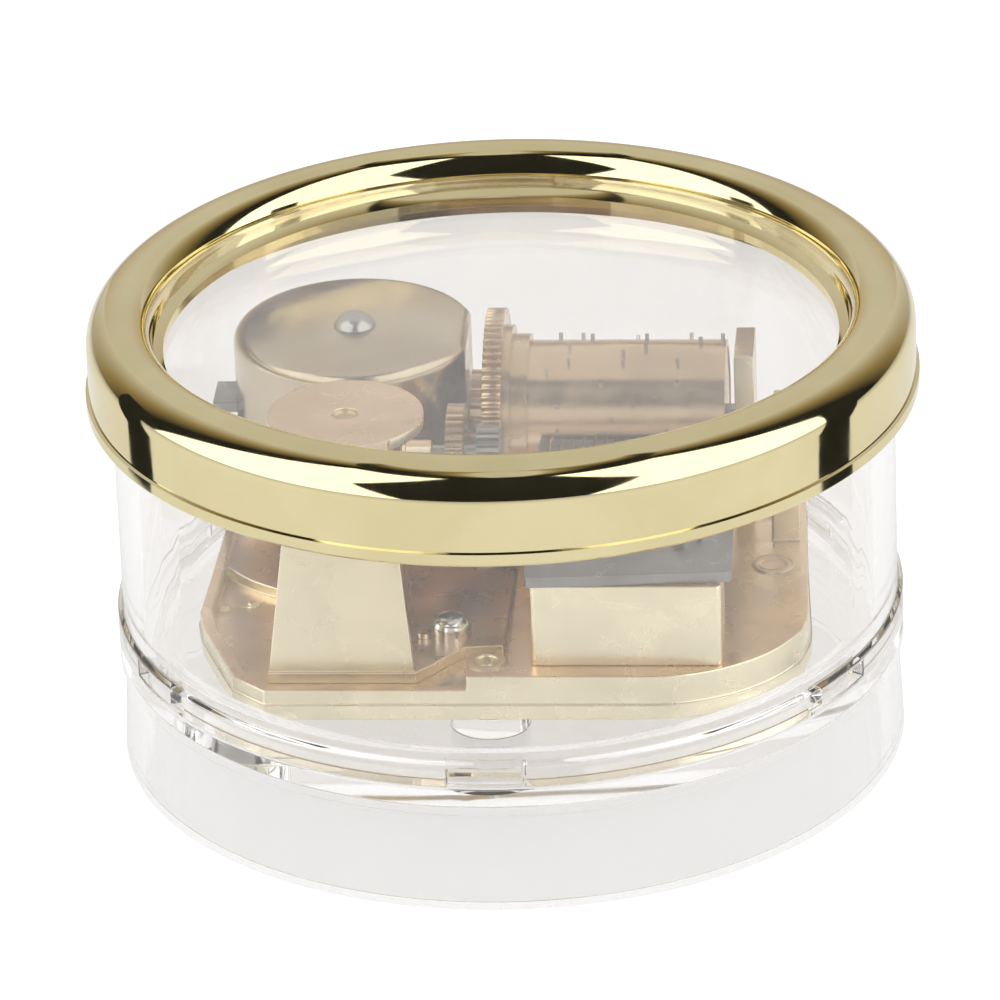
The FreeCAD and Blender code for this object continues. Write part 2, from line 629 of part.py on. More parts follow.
# ---- pinned cylinder ----------------------------------------------------------------
def cylinder_arbor():
    """Steel arbor of the cylinder, with a thin pivot at each end."""
    wall = DRUM_X + DRUM_FLAT
    core = rod_x(CYL_ARBOR_R, wall + END_SHAKE, BRACKET_LEFT - END_SHAKE, CYL_Y, CYL_Z)
    left_pivot = rod_x(PIVOT_R, wall - 0.9, wall + 0.2, CYL_Y, CYL_Z)
    right_pivot = rod_x(PIVOT_R, BRACKET_LEFT - 0.2, BRACKET_RIGHT - 0.1, CYL_Y, CYL_Z)
    return fuse(core, left_pivot, right_pivot)


def on_arbor(shape):
    """Bore for a piece that is pressed on the cylinder's arbor."""
    return shape.cut(rod_x(CYL_ARBOR_R, -FAR, FAR, CYL_Y, CYL_Z))


def drive_pinion():
    """Pinion on the cylinder's arbor with a gap straight down, over a tooth of the crown gear."""
    below = -math.pi / 2
    phase = below + math.pi / CROWN_PINION_TEETH
    return on_arbor(spur_gear(CROWN_PINION_TEETH, CROWN_MODULE, *CROWN_PINION_X, CYL_Y, CYL_Z,
                              phase, 0.75))


def cylinder_gear():
    gear = spur_gear(CYL_TEETH, GEAR_MODULE, GEAR_LEFT, GEAR_RIGHT, CYL_Y, CYL_Z, 0.0)
    return on_arbor(gear)


def cylinder_end_caps():
    """Stepped flange at the gear end and a disc that closes the other end."""
    wide, narrow = FLANGE_R
    plug = TUBE_R - TUBE_WALL
    flange = fuse(rod_x(wide, GEAR_RIGHT, FLANGE_STEP_X, CYL_Y, CYL_Z),
                  rod_x(narrow, FLANGE_STEP_X, TUBE_LEFT, CYL_Y, CYL_Z),
                  rod_x(plug, TUBE_LEFT, TUBE_LEFT + CAP_THICK, CYL_Y, CYL_Z))
    disc = rod_x(plug, TUBE_RIGHT - CAP_THICK - 0.1, TUBE_RIGHT - 0.1, CYL_Y, CYL_Z)
    return group([on_arbor(flange), on_arbor(disc)])


def cylinder_tube():
    outer = rod_x(TUBE_R, TUBE_LEFT, TUBE_RIGHT, CYL_Y, CYL_Z)
    return outer.cut(rod_x(TUBE_R - TUBE_WALL, 0, FAR, CYL_Y, CYL_Z))


def note_x(note):
    return COMB_LEFT + COMB_PITCH * (note + 0.5)


def cylinder_pins():
    """Tune pins: a lead note in every row, and chord notes in every second and fourth row."""
    pins = []
    for beat in range(BEATS):
        angle = 2 * math.pi * (beat + 0.5) / BEATS
        direction = V(0, math.cos(angle), math.sin(angle))
        lead = (beat * 5 + beat // 8 * 3) % PINNED_NOTES
        chord = {lead}
        if beat % 2 == 0:
            chord.add((lead + 7) % PINNED_NOTES)
        if beat % 4 == 0:
            chord.add((lead + 12) % PINNED_NOTES)
        for note in sorted(chord):
            start = V(note_x(note), CYL_Y, CYL_Z) + direction * (TUBE_R - PIN_SINK)
            pins.append(Part.makeCylinder(PIN_R, PIN_TIP_R - TUBE_R, start, direction))
    return group(pins)


def cylinder_bracket():
    """Upright at the right end of the cylinder, with a foot screwed to the deck."""
    upright = box(BRACKET_LEFT, BRACKET_RIGHT, *BRACKET_Y, DECK, BRACKET_TOP)
    foot = box(BRACKET_LEFT, BRACKET_FOOT_RIGHT, BRACKET_FOOT_FRONT, BRACKET_Y[1], DECK,
               DECK + BRACKET_FOOT_THICK)
    bracket = fuse(upright, foot).cut(rod_x(PIVOT_R + RUN, 0, FAR, CYL_Y, CYL_Z))
    return bracket.cut(cylinder(0.55, FAR, *BRACKET_SCREW, 0))


def bracket_screw():
    x, y = BRACKET_SCREW
    return fuse(screw_head(0.95, 0.6, x, y, DECK + BRACKET_FOOT_THICK),
                cylinder(0.5, BRACKET_FOOT_THICK, x, y, DECK))


# ---- comb ---------------------------------------------------------------------------
def comb_base():
    """Block that the comb is screwed down on."""
    block = box(*COMB_BLOCK_X, *COMB_BLOCK_Y, DECK, COMB_UNDER)
    upright = [edge for edge in block.Edges if edge.BoundBox.ZLength > 1]
    block = block.makeFillet(COMB_BLOCK_EDGE, upright)
    for x, y in COMB_SCREWS:
        block = block.cut(cylinder(0.8, FAR, x, y, COMB_UNDER - 4))
    return block


def comb():
    """Steel comb: one tooth a note, cut by narrow slots, thinner than the screwed root."""
    bass, treble = COMB_FRONT
    plate = prism([(COMB_LEFT, bass), (COMB_RIGHT, treble), (COMB_RIGHT, COMB_TIP),
                   (COMB_LEFT, COMB_TIP)], COMB_UNDER, COMB_TOP)
    front = [edge for edge in plate.Edges
             if edge.BoundBox.ZLength > 0.5 and edge.BoundBox.YMin < treble + 0.1]
    plate = plate.makeFillet(COMB_CORNER, front)
    plate = plate.cut(box(0, FAR, COMB_ROOT + 0.8, FAR, 0, COMB_UNDER + COMB_THINNING))
    half = COMB_SLOT / 2
    for note in range(1, NOTES):
        x = COMB_LEFT + COMB_PITCH * note
        plate = plate.cut(box(x - half, x + half, COMB_ROOT, FAR, 0, FAR))
    for x, y in COMB_SCREWS:
        plate = plate.cut(cylinder(0.85, FAR, x, y, 0))
    return plate


def comb_screws():
    return group([fuse(screw_head(1.75, 1.0, x, y, COMB_TOP), cylinder(0.78, 4.4, x, y, COMB_TOP - 4.4))
                  for x, y in COMB_SCREWS])


# ---- governor -----------------------------------------------------------------------
def leg_panel():
    """Slanted front leg that widens from the disc to the foot."""
    lap_in, lap_down = LEG_LAP
    top_y = WORM_Y - DISC_R + lap_in
    top_z = DISC_TOP - lap_down
    foot_left, foot_right = LEG_FOOT_X
    top_left, top_right = LEG_TOP_X
    corners = [V(foot_left, LEG_FOOT_Y, PLATE_FLOOR), V(foot_right, LEG_FOOT_Y, PLATE_FLOOR),
               V(top_right, top_y, top_z), V(top_left, top_y, top_z)]
    return Part.Face(Part.makePolygon(corners + corners[:1])).extrude(V(0, LEG_THICK, 0))


def governor_foot():
    left, right = LEG_FOOT_X
    tongue_left = CHEEKS[1]
    return prism([(left, LEG_FOOT_Y), (right, LEG_FOOT_Y), (-2.8, -13.6), (FOOT_RIGHT, -13.3),
                  (FOOT_RIGHT, TONGUE_REAR), (tongue_left, TONGUE_REAR),
                  (tongue_left, FOOT_REAR), (left, FOOT_REAR)], PLATE_FLOOR, FOOT_TOP)


def governor_frame():
    """One casting: top disc, front leg, foot plate and two bearing cheeks."""
    disc = cylinder(DISC_R, DISC_THICK, WORM_X, WORM_Y, DISC_UNDER)
    parts = [disc, leg_panel(), governor_foot()]
    for left in CHEEKS:
        right = left + CHEEK_THICK
        parts.append(box(left, right, *CHEEK_Y, FOOT_TOP - 0.1, CHEEK_TOP))
        parts.append(box(left, right, *CHEEK_NECK_Y, CHEEK_TOP - 0.1, DISC_TOP - 0.1))
    right_cheek = CHEEKS[1]
    parts.append(box(right_cheek, right_cheek + CHEEK_THICK, *CHEEK_EAR_Y, CHEEK_EAR_Z, CHEEK_TOP))
    parts.append(rod_x(SLEEVE_R, right_cheek, SLEEVE_RIGHT, SHAFT1_Y, SHAFT1_Z))
    frame = fuse(*parts)
    frame = frame.cut(rod_x(SHAFT_R + RUN, right_cheek - 0.7, 0, SHAFT1_Y, SHAFT1_Z))
    frame = frame.cut(rod_x(SHAFT_R + RUN, -FAR, 0, SHAFT2_Y, SHAFT2_Z))
    frame = frame.cut(cylinder(DISC_HOLE_R, FAR, WORM_X, WORM_Y, DISC_UNDER - 1))
    frame = frame.cut(cylinder(WORM_PIVOT_R + RUN, 2, WORM_X, WORM_Y, PLATE_FLOOR - 0.5))
    frame = frame.cut(cylinder(FRAME_PIN_R + NEAR_MISS, 3, *FRAME_PIN, PLATE_FLOOR - 0.5))
    return frame.cut(cylinder(0.85, 3, *FRAME_SCREW, PLATE_FLOOR - 0.5))


def governor_screw():
    x, y = FRAME_SCREW
    return fuse(screw_head(*FRAME_SCREW_HEAD, x, y, FOOT_TOP), cylinder(0.8, 1.0, x, y, FOOT_TOP - 1.0))


def locating_pin():
    return cylinder(FRAME_PIN_R, 1.5, *FRAME_PIN, PLATE_FLOOR)


def worm_bush():
    """Bearing bush for the worm, pressed into the disc and sunk below its top."""
    bush = cylinder(DISC_HOLE_R, DISC_THICK - 0.3, WORM_X, WORM_Y, DISC_UNDER)
    return bush.cut(cylinder(WORM_PIVOT_R + RUN, 0.5, WORM_X, WORM_Y, DISC_UNDER))


def on_shaft(gear, y, z):
    """Bore for a gear that is pressed on one of the two thin shafts."""
    return gear.cut(rod_x(SHAFT_R, -FAR, FAR, y, z))


def first_shaft():
    return rod_x(SHAFT_R, CHEEKS[1] + 0.05, -0.35, SHAFT1_Y, SHAFT1_Z)


def first_wheel():
    gear = spur_gear(WHEEL1_TEETH, GEAR_MODULE, -4.75, -3.3, SHAFT1_Y, SHAFT1_Z, 0.0)
    return on_shaft(gear, SHAFT1_Y, SHAFT1_Z)


def first_pinion():
    line = math.atan2(SHAFT1_Z - CYL_Z, SHAFT1_Y - CYL_Y)
    phase = mesh_phase(PINION1_TEETH, line, CYL_TEETH, 0.0)
    gear = spur_gear(PINION1_TEETH, GEAR_MODULE, -2.3, -0.4, SHAFT1_Y, SHAFT1_Z, phase)
    return on_shaft(gear, SHAFT1_Y, SHAFT1_Z)


def second_shaft():
    return rod_x(SHAFT_R, CHEEKS[0] + 0.05, -3.2, SHAFT2_Y, SHAFT2_Z)


def second_pinion():
    line = math.atan2(SHAFT2_Z - SHAFT1_Z, SHAFT2_Y - SHAFT1_Y)
    phase = mesh_phase(PINION2_TEETH, line, WHEEL1_TEETH, 0.0)
    gear = spur_gear(PINION2_TEETH, GEAR_MODULE, -4.8, -3.25, SHAFT2_Y, SHAFT2_Z, phase)
    return on_shaft(gear, SHAFT2_Y, SHAFT2_Z)


def worm_wheel():
    """A tooth points straight at the worm, into the gap of its thread."""
    half = 0.7
    gear = spur_gear(WORM_WHEEL_TEETH, WORM_MODULE, WORM_X - half, WORM_X + half, SHAFT2_Y, SHAFT2_Z,
                     math.pi, 0.62, 0.85)
    return on_shaft(gear, SHAFT2_Y, SHAFT2_Z)


def worm():
    """Right-handed single-start worm on its upright spindle."""
    low = SHAFT2_Z - WORM_PITCH * WORM_TURNS / 2
    core_r = WORM_R - 1.2 * WORM_MODULE
    tip_r = WORM_R + 0.8 * WORM_MODULE
    foot, pivot_foot = FOOT_TOP + 0.15, PLATE_FLOOR + 0.25
    spindle = cylinder(WORM_SPINDLE_R, DISC_UNDER - 0.15 - foot, WORM_X, WORM_Y, foot)
    pivots = cylinder(WORM_PIVOT_R, DISC_UNDER + 0.4 - pivot_foot, WORM_X, WORM_Y, pivot_foot)
    core = cylinder(core_r, WORM_PITCH * (WORM_TURNS + 1), WORM_X, WORM_Y, low - WORM_PITCH / 2)
    helix = Part.makeHelix(WORM_PITCH, WORM_PITCH * WORM_TURNS, WORM_R)
    wide, narrow = WORM_THREAD
    inside = core_r - 0.15
    section = [V(inside, 0, -wide), V(tip_r, 0, -narrow), V(tip_r, 0, narrow), V(inside, 0, wide)]
    profile = Part.makePolygon(section + section[:1])
    thread = Part.Wire(helix.Edges).makePipeShell([profile], True, True)
    thread.rotate(V(0, 0, 0), V(0, 0, 1), 270.0)
    thread.translate(V(WORM_X, WORM_Y, low))
    return fuse(spindle, pivots, core).fuse(thread)


def fan():
    """Air brake: two flat vanes on a hub."""
    low, high = FAN_Z
    hub = cylinder(FAN_HUB_R, high - low, WORM_X, WORM_Y, low)
    vanes = box(WORM_X - FAN_R, WORM_X + FAN_R, WORM_Y - FAN_HALF, WORM_Y + FAN_HALF,
                low + FAN_INSET, high - FAN_INSET)
    return fuse(hub, vanes).cut(cylinder(WORM_SPINDLE_R, FAR, WORM_X, WORM_Y, 0))


MODEL = [clear_base, clear_cup, gold_ring, case_screws, bedplate, spring_housing, housing_posts,
         housing_bracket, mainspring, spring_arbor, winding_key, drive_gear, cylinder_arbor,
         drive_pinion, cylinder_gear, cylinder_end_caps, cylinder_tube, cylinder_pins,
         cylinder_bracket, bracket_screw, comb_base, comb, comb_screws, governor_frame,
         governor_screw, locating_pin, worm_bush, first_shaft, first_wheel, first_pinion,
         second_shaft, second_pinion, worm_wheel, worm, fan]

for build in MODEL:
    shape = build()
    bad = [solid for solid in shape.Solids if not solid.isValid() or solid.Volume <= 0]
    print(build.__name__, len(shape.Solids), "solids", round(shape.Volume, 2), "mm3", "BAD" if bad else "")
    save(build.__name__, shape)
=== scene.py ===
"""The looks of a cylinder music box in a clear round case with a gilt ring, built on its CAD frame."""

import json
import math

import bmesh
import bpy
from mathutils import Matrix, Vector

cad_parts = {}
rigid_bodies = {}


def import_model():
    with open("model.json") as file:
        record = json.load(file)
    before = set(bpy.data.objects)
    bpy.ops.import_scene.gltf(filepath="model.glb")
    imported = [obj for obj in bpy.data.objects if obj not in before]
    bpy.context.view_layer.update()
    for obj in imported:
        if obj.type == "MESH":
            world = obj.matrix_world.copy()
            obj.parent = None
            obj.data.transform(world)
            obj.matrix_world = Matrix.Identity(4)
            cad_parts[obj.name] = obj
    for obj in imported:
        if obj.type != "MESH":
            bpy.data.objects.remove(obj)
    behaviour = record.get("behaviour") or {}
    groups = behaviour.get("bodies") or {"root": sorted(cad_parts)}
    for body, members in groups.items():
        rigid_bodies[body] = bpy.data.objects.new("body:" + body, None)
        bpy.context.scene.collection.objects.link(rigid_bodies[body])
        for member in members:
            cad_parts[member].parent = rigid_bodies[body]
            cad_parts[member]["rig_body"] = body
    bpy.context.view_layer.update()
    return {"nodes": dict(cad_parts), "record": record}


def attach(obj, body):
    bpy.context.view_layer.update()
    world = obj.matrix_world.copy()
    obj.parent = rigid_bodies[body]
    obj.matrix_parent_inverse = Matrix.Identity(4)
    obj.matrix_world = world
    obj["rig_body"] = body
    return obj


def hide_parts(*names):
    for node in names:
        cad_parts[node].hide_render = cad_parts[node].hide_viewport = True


MM = 0.001
MICRON = 0.000001

# Camera, in the frame of the part.
CAMERA_TARGET = Vector((-0.60, -0.05, 21.3)) * MM
CAMERA_ELEVATION = math.radians(26.0)
CAMERA_AZIMUTH = math.radians(4.7)
CAMERA_DISTANCE = 0.700
CAMERA_ROLL = math.radians(2.15)
CAMERA_LENS = 297.1
CAMERA_SENSOR = 36.0

# Colours of the studio light and of what gives no light. The sky is warm at the horizon and turns
# white where the upward part of its direction reaches WHITE_FROM.
WHITE_LIGHT = (1.0, 0.985, 0.965)
WARM_HORIZON = (0.84, 0.70, 0.50)
WHITE_FROM = 0.40
LAMP_WHITE = (0.95, 0.98, 1.0)
LAMP_GLOW = 1.02
SHADE_BROWN = (0.30, 0.23, 0.11)
DARK_CLOTH = (0.004, 0.004, 0.003)
PAPER_GREY = (0.30, 0.30, 0.30)

# Brightness as mirrored by a surface, through the clear case, and as the camera sees it.
SKY_LIGHT = (0.66, 0.80, 1.0)
FLOOR_LIGHT = (0.54, 0.67, 0.90)
DARK_LIGHT = (0.0, 0.70, 0.0)
STAND_LIGHT = (0.0, 0.95, 0.0)
OVERHEAD_LIGHT = (0.66, 0.14, 0.0)

# The floor's light falls off between two distances from the part, in metres.
FLOOR_SIZE = 4.0
FLOOR_FADE = (0.17, 0.40)
FLOOR_FAR_LIGHT = 0.35

# Studio cards, curved about a point on the Z axis at this height in metres. Each has its edges to
# the sides and in height, in degrees from the camera's direction and from the horizon, and then its
# radius in metres.
STUDIO_HEIGHT = 0.036
ROOM_BEHIND_CAMERA = ((-43, 37), (-6, 70), 0.62)
LEFT_LAMP = ((-106, -20), (-6, 66), 0.66)
RIGHT_LAMP = ((20, 106), (-6, 66), 0.66)
LAMP_FRAME = ((-106, 106), (66, 71), 0.64)
LEFT_GAP = ((-106, -164), (-10, 70), 0.60)
RIGHT_GAP = ((104, 162), (-10, 70), 0.60)
GAP_LEAN = 32
LEFT_SHADE = ((-142, -4), (70, 96), 0.65)
RIGHT_SHADE = ((4, 142), (70, 96), 0.65)
LEFT_STAND = ((-104, -93), (-21, 15), 0.085)
RIGHT_STAND = ((77, 89), (-21, 15), 0.085)
OVERHEAD = ((-80, 80), (38, 80), 0.70)

# The clear plastic: index of refraction, and how much light it lets through in hazy and clear spots.
CLEAR_INDEX = 1.49
CLEARNESS = (0.92, 0.955)

# Light bounces. The clear ones are for light that is guided inside the plastic.
BOUNCES = 120
CLEAR_BOUNCES = 110
DIFFUSE_BOUNCES = 4

# Mesh work on the copies of the CAD nodes.
MERGE_DISTANCE = 0.000001
PLANE_DISTANCE = 0.0000001
FLAT_ANGLE = math.radians(0.6)
SHARP_ANGLE = math.radians(35)
RING_STEPS = 360

# Bevels on the copies of the CAD nodes, width in mm.
SOFT_EDGES = {
    "bedplate": 0.16,
    "comb_base": 0.14,
    "comb": 0.03,
    "governor_frame": 0.10,
    "housing_posts": 0.10,
    "housing_bracket": 0.08,
    "cylinder_bracket": 0.10,
    "cylinder_gear": 0.03,
    "winding_key": 0.35,
    "fan": 0.05,
    "case_screws": 0.10,
    "clear_base": 0.12,
    "clear_cup": 0.12,
}


# ---------------------------------------------------------------- shader helpers


def new_material(name):
    """A new material, with its node tree and its main shader."""
    material = bpy.data.materials.new(name)
    material.use_nodes = True
    tree = material.node_tree
    return material, tree, tree.nodes["Principled BSDF"]


def add(tree, kind, values=None, **settings):
    """A new node, with values for its input sockets and settings for its own properties."""
    node = tree.nodes.new(kind)
    for key, value in settings.items():
        setattr(node, key, value)
    for key, value in (values or {}).items():
        node.inputs[key].default_value = value
    return node


def place(tree, stretch=(1, 1, 1), turn=(0, 0, 0)):
    """Object coordinates, stretched and turned."""
    source = add(tree, "ShaderNodeTexCoord")
    mapping = add(tree, "ShaderNodeMapping", {"Scale": stretch, "Rotation": turn})
    tree.links.new(source.outputs["Object"], mapping.inputs["Vector"])
    return mapping.outputs["Vector"]


def noise(tree, scale, detail=3.0, stretch=(1, 1, 1), turn=(0, 0, 0), twist=0.0):
    """Noise in object space, scale in cells per metre."""
    node = add(
        tree,
        "ShaderNodeTexNoise",
        {"Scale": scale, "Detail": detail, "Distortion": twist},
    )
    tree.links.new(place(tree, stretch, turn), node.inputs["Vector"])
    return node.outputs["Fac"]


def span(tree, source, low, high, start=0.3, end=0.7):
    """Turns source, as it goes from start to end, into a value that goes from low to high."""
    node = add(
        tree,
        "ShaderNodeMapRange",
        {"From Min": start, "From Max": end, "To Min": low, "To Max": high},
    )
    tree.links.new(source, node.inputs["Value"])
    return node.outputs["Result"]


def shade(tree, source, *stops):
    """A colour ramp over source, stops as (position, (r, g, b))."""
    node = add(tree, "ShaderNodeValToRGB")
    ramp = node.color_ramp
    while len(ramp.elements) < len(stops):
        ramp.elements.new(0.5)
    for element, (position, colour) in zip(ramp.elements, stops):
        element.position = position
        element.color = (*colour, 1.0)
    tree.links.new(source, node.inputs["Fac"])
    return node.outputs["Color"]


def bump(tree, shader, *layers):
    """Stacks bump layers given as (height socket, distance in microns, strength)."""
    normal = None
    for height, distance, strength in layers:
        node = add(tree, "ShaderNodeBump", {"Strength": strength, "Distance": distance * MICRON})
        tree.links.new(height, node.inputs["Height"])
        if normal is not None:
            tree.links.new(normal, node.inputs["Normal"])
        normal = node.outputs["Normal"]
    tree.links.new(normal, shader.inputs["Normal"])


# ---------------------------------------------------------------- materials


def metal(name, light, dark, rough, grain=(1, 1, 1), scratch=0.3, patch=160):
    """Plated or bare metal: patchy tone, uneven polish, fine directional scratches."""
    material, tree, shader = new_material(name)
    shader.inputs["Metallic"].default_value = 1.0
    tone = noise(tree, scale=patch, detail=4.0, twist=0.4)
    tree.links.new(
        shade(tree, tone, (0.30, dark), (0.68, light)), shader.inputs["Base Color"]
    )
    smear = noise(tree, scale=patch * 2.3, detail=5.0, twist=0.8)
    tree.links.new(span(tree, smear, *rough), shader.inputs["Roughness"])
    fine = noise(tree, scale=5200, detail=2.0, stretch=grain)
    wave = noise(tree, scale=300, detail=1.0)
    bump(tree, shader, (fine, 3, scratch), (wave, 20, scratch * 0.4))
    return material


def casting(name, side, upper, rough):
    """Gilt zinc casting: pale on its sides, warmer and darker on the faces that look up, where that
    colour is painted shade.
    """
    material, tree, shader = new_material(name)
    shader.inputs["Metallic"].default_value = 1.0
    facing = add(tree, "ShaderNodeNewGeometry")
    split = add(tree, "ShaderNodeSeparateXYZ")
    tree.links.new(facing.outputs["Normal"], split.inputs["Vector"])
    # Share of the painted shade, from how far each face turns up.
    up = span(tree, split.outputs["Z"], 0.0, 1.0, 0.45, 0.9)
    tone = noise(tree, scale=130, detail=4.0, twist=0.5)
    darker = tuple(c * 0.88 for c in side)
    # Darker stop of the painted shade on the faces that look up; between the stops the tone differs at
    # random.
    top_shade_dark = tuple(c * 0.82 for c in upper)
    mix = add(tree, "ShaderNodeMix", data_type="RGBA")
    tree.links.new(up, mix.inputs["Factor"])
    tree.links.new(shade(tree, tone, (0.3, darker), (0.66, side)), mix.inputs["A"])
    tree.links.new(shade(tree, tone, (0.34, top_shade_dark), (0.62, upper)), mix.inputs["B"])
    tree.links.new(mix.outputs["Result"], shader.inputs["Base Color"])
    smear = noise(tree, scale=320, detail=5.0, twist=0.8)
    tree.links.new(span(tree, smear, *rough), shader.inputs["Roughness"])
    grain = noise(tree, scale=2600, detail=3.0)
    wave = noise(tree, scale=300, detail=1.0)
    bump(tree, shader, (grain, 4, 0.25), (wave, 20, 0.12))
    return material


def clear_plastic(name, tint, rough):
    """Moulded clear plastic with faint flow marks and handling haze."""
    material, tree, shader = new_material(name)
    shader.inputs["IOR"].default_value = CLEAR_INDEX
    cloud = noise(tree, scale=140, detail=3.0, twist=0.5)
    facing = add(tree, "ShaderNodeNewGeometry")
    clear = add(tree, "ShaderNodeMath", operation="MAXIMUM")
    tree.links.new(span(tree, cloud, *CLEARNESS), clear.inputs[0])
    tree.links.new(facing.outputs["Backfacing"], clear.inputs[1])
    tree.links.new(clear.outputs[0], shader.inputs["Transmission Weight"])
    tone = noise(tree, scale=60, detail=2.0, twist=1.0)
    paler = tuple(min(1.0, c * 1.01) for c in tint)
    tree.links.new(
        shade(tree, tone, (0.3, tint), (0.7, paler)), shader.inputs["Base Color"]
    )
    haze = noise(tree, scale=210, detail=4.0, twist=0.6)
    tree.links.new(span(tree, haze, *rough), shader.inputs["Roughness"])
    flow = noise(tree, scale=90, detail=2.0, stretch=(1, 1, 0.35))
    bump(tree, shader, (flow, 16, 0.10))
    return material


def gilt_plastic():
    """Vacuum-plated ring: mirror gold with soft moulding waves."""
    material, tree, shader = new_material("gilt_ring")
    shader.inputs["Metallic"].default_value = 1.0
    tone = noise(tree, scale=90, detail=3.0, twist=0.5)
    colour = shade(tree, tone, (0.3, (0.76, 0.655, 0.375)), (0.7, (0.83, 0.73, 0.44)))
    tree.links.new(colour, shader.inputs["Base Color"])
    smear = noise(tree, scale=320, detail=5.0, twist=0.8)
    tree.links.new(span(tree, smear, 0.035, 0.09), shader.inputs["Roughness"])
    wave = noise(tree, scale=130, detail=2.0)
    orange = noise(tree, scale=1500, detail=2.0)
    bump(tree, shader, (wave, 60, 0.12), (orange, 4, 0.15))
    return material


def build_materials():
    """One material for each material slot of the record."""
    return {
        "clear_plastic": clear_plastic("clear_case", (0.972, 0.958, 0.948), (0.0, 0.02)),
        "gilt_plastic": gilt_plastic(),
        # The first colour is for the casting's sides; the second, for the faces that look up, is
        # painted shade.
        "gilt_casting": casting(
            "gilt_casting", (0.94, 0.865, 0.63), (0.96, 0.72, 0.47), (0.22, 0.38)
        ),
        "gilt_steel": metal(
            "gilt_steel", (0.60, 0.51, 0.36), (0.50, 0.41, 0.28), (0.14, 0.26), (1, 12, 1)
        ),
        "gilt_brass": metal(
            "gilt_brass", (0.76, 0.58, 0.38), (0.62, 0.46, 0.29), (0.14, 0.26), (1, 1, 12)
        ),
        "brass": metal("brass", (0.72, 0.57, 0.36), (0.56, 0.40, 0.22), (0.16, 0.30)),
        "grey_steel": metal("grey_steel", (0.32, 0.32, 0.32), (0.22, 0.22, 0.22), (0.22, 0.40)),
        "spring_steel": metal("spring_steel", (0.40, 0.42, 0.46), (0.24, 0.26, 0.30), (0.2, 0.35)),
        "nickel_steel": metal("nickel_steel", (0.46, 0.45, 0.42), (0.36, 0.35, 0.33), (0.14, 0.28)),
        "plated_screw": metal("plated_screw", (0.80, 0.79, 0.76), (0.58, 0.56, 0.54), (0.10, 0.25)),
        "comb_steel": metal(
            "comb_steel", (0.36, 0.35, 0.34), (0.27, 0.265, 0.265), (0.26, 0.42), (14, 1, 1), 0.15
        ),
        "pin_steel": metal("pin_steel", (0.50, 0.48, 0.45), (0.36, 0.34, 0.32), (0.15, 0.30)),
    }


# ---------------------------------------------------------------- geometry helpers


def softened(frame, node, width):
    """A copy of a CAD node with rounded edges, standing for the node."""
    source = frame["nodes"][node]
    shape = bmesh.new()
    shape.from_mesh(source.data)
    bmesh.ops.remove_doubles(shape, verts=shape.verts, dist=MERGE_DISTANCE)
    bmesh.ops.dissolve_limit(
        shape, angle_limit=FLAT_ANGLE, verts=shape.verts, edges=shape.edges
    )
    data = bpy.data.meshes.new(node + "_soft")
    shape.to_mesh(data)
    shape.free()
    data.shade_smooth()
    data.set_sharp_from_angle(angle=SHARP_ANGLE)
    obj = bpy.data.objects.new(node + "_soft", data)
    bpy.context.scene.collection.objects.link(obj)
    bevel = obj.modifiers.new("soften", "BEVEL")
    bevel.width = width * MM
    bevel.segments = 2
    bevel.limit_method = "ANGLE"
    bevel.angle_limit = SHARP_ANGLE
    bevel.use_clamp_overlap = False
    bevel.harden_normals = False
    even = obj.modifiers.new("even", "WEIGHTED_NORMAL")
    even.keep_sharp = False
    bpy.context.view_layer.update()
    shaped = obj.evaluated_get(bpy.context.evaluated_depsgraph_get())
    obj.data = bpy.data.meshes.new_from_object(shaped)
    obj.modifiers.clear()
    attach(obj, source["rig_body"])
    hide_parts(node)
    return obj


def turned(frame, node, steps):
    """A finely divided copy of a CAD node that is round about Z, standing for the node.

    Its section is the CAD mesh's own outline in the plane of X and Z, where X is positive."""
    source = frame["nodes"][node]
    shape = bmesh.new()
    shape.from_mesh(source.data)
    bmesh.ops.remove_doubles(shape, verts=shape.verts, dist=MERGE_DISTANCE)
    cut = bmesh.ops.bisect_plane(
        shape,
        geom=[*shape.verts, *shape.edges, *shape.faces],
        dist=PLANE_DISTANCE,
        plane_co=(0, 0, 0),
        plane_no=(0, 1, 0),
    )
    outline = [
        edge
        for edge in cut["geom_cut"]
        if isinstance(edge, bmesh.types.BMEdge) and all(vert.co.x > 0.0 for vert in edge.verts)
    ]
    pairs = [[vert.co.copy() for vert in edge.verts] for edge in outline]
    shape.clear()
    for start, end in pairs:
        shape.edges.new((shape.verts.new(start), shape.verts.new(end)))
    bmesh.ops.remove_doubles(shape, verts=shape.verts, dist=MERGE_DISTANCE)
    bmesh.ops.spin(
        shape,
        geom=[*shape.verts, *shape.edges],
        cent=(0, 0, 0),
        axis=(0, 0, 1),
        angle=math.tau,
        steps=steps,
        use_merge=True,
    )
    bmesh.ops.recalc_face_normals(shape, faces=shape.faces)
    data = bpy.data.meshes.new(node + "_turned")
    shape.to_mesh(data)
    shape.free()
    data.shade_smooth()
    data.set_sharp_from_angle(angle=SHARP_ANGLE)
    obj = bpy.data.objects.new(node + "_turned", data)
    bpy.context.scene.collection.objects.link(obj)
    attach(obj, source["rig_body"])
    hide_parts(node)
    return obj


# ---------------------------------------------------------------- stage


